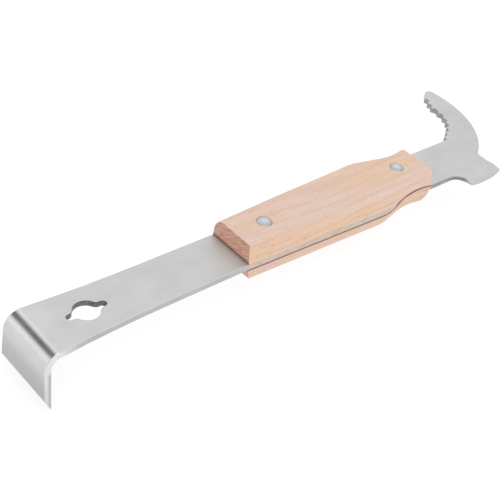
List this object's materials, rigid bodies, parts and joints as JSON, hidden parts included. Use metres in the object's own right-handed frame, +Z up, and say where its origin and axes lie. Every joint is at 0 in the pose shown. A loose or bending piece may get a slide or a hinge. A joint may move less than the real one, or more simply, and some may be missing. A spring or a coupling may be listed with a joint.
{
  "type": "hive tool",
  "caption": "Steel hive tool with a bent scraper lip, nail hole, riveted wooden handle, ground side foot and toothed J hook for lifting frames.",
  "frame": {"origin": "centre of the nail hole, on the blade's top face", "axes": "+X along the strip from the scraper lip to the hook, +Y towards the side the hook points to, +Z up out of the top face; the scraper lip is bent down towards -Z"},
  "size_m": [0.2963, 0.0739, 0.036],
  "materials": {
    "steel": "satin brushed stainless steel",
    "wood": "plain sanded beech, end grain darker",
    "rivet": "polished low dome"
  },
  "bodies": {
    "root": {"blade": "steel", "upper_scale": "wood", "lower_scale": "wood", "front_rivet_tube": "rivet", "front_rivet_pin": "rivet", "rear_rivet_tube": "rivet", "rear_rivet_pin": "rivet"}
  },
  "joints": []
}
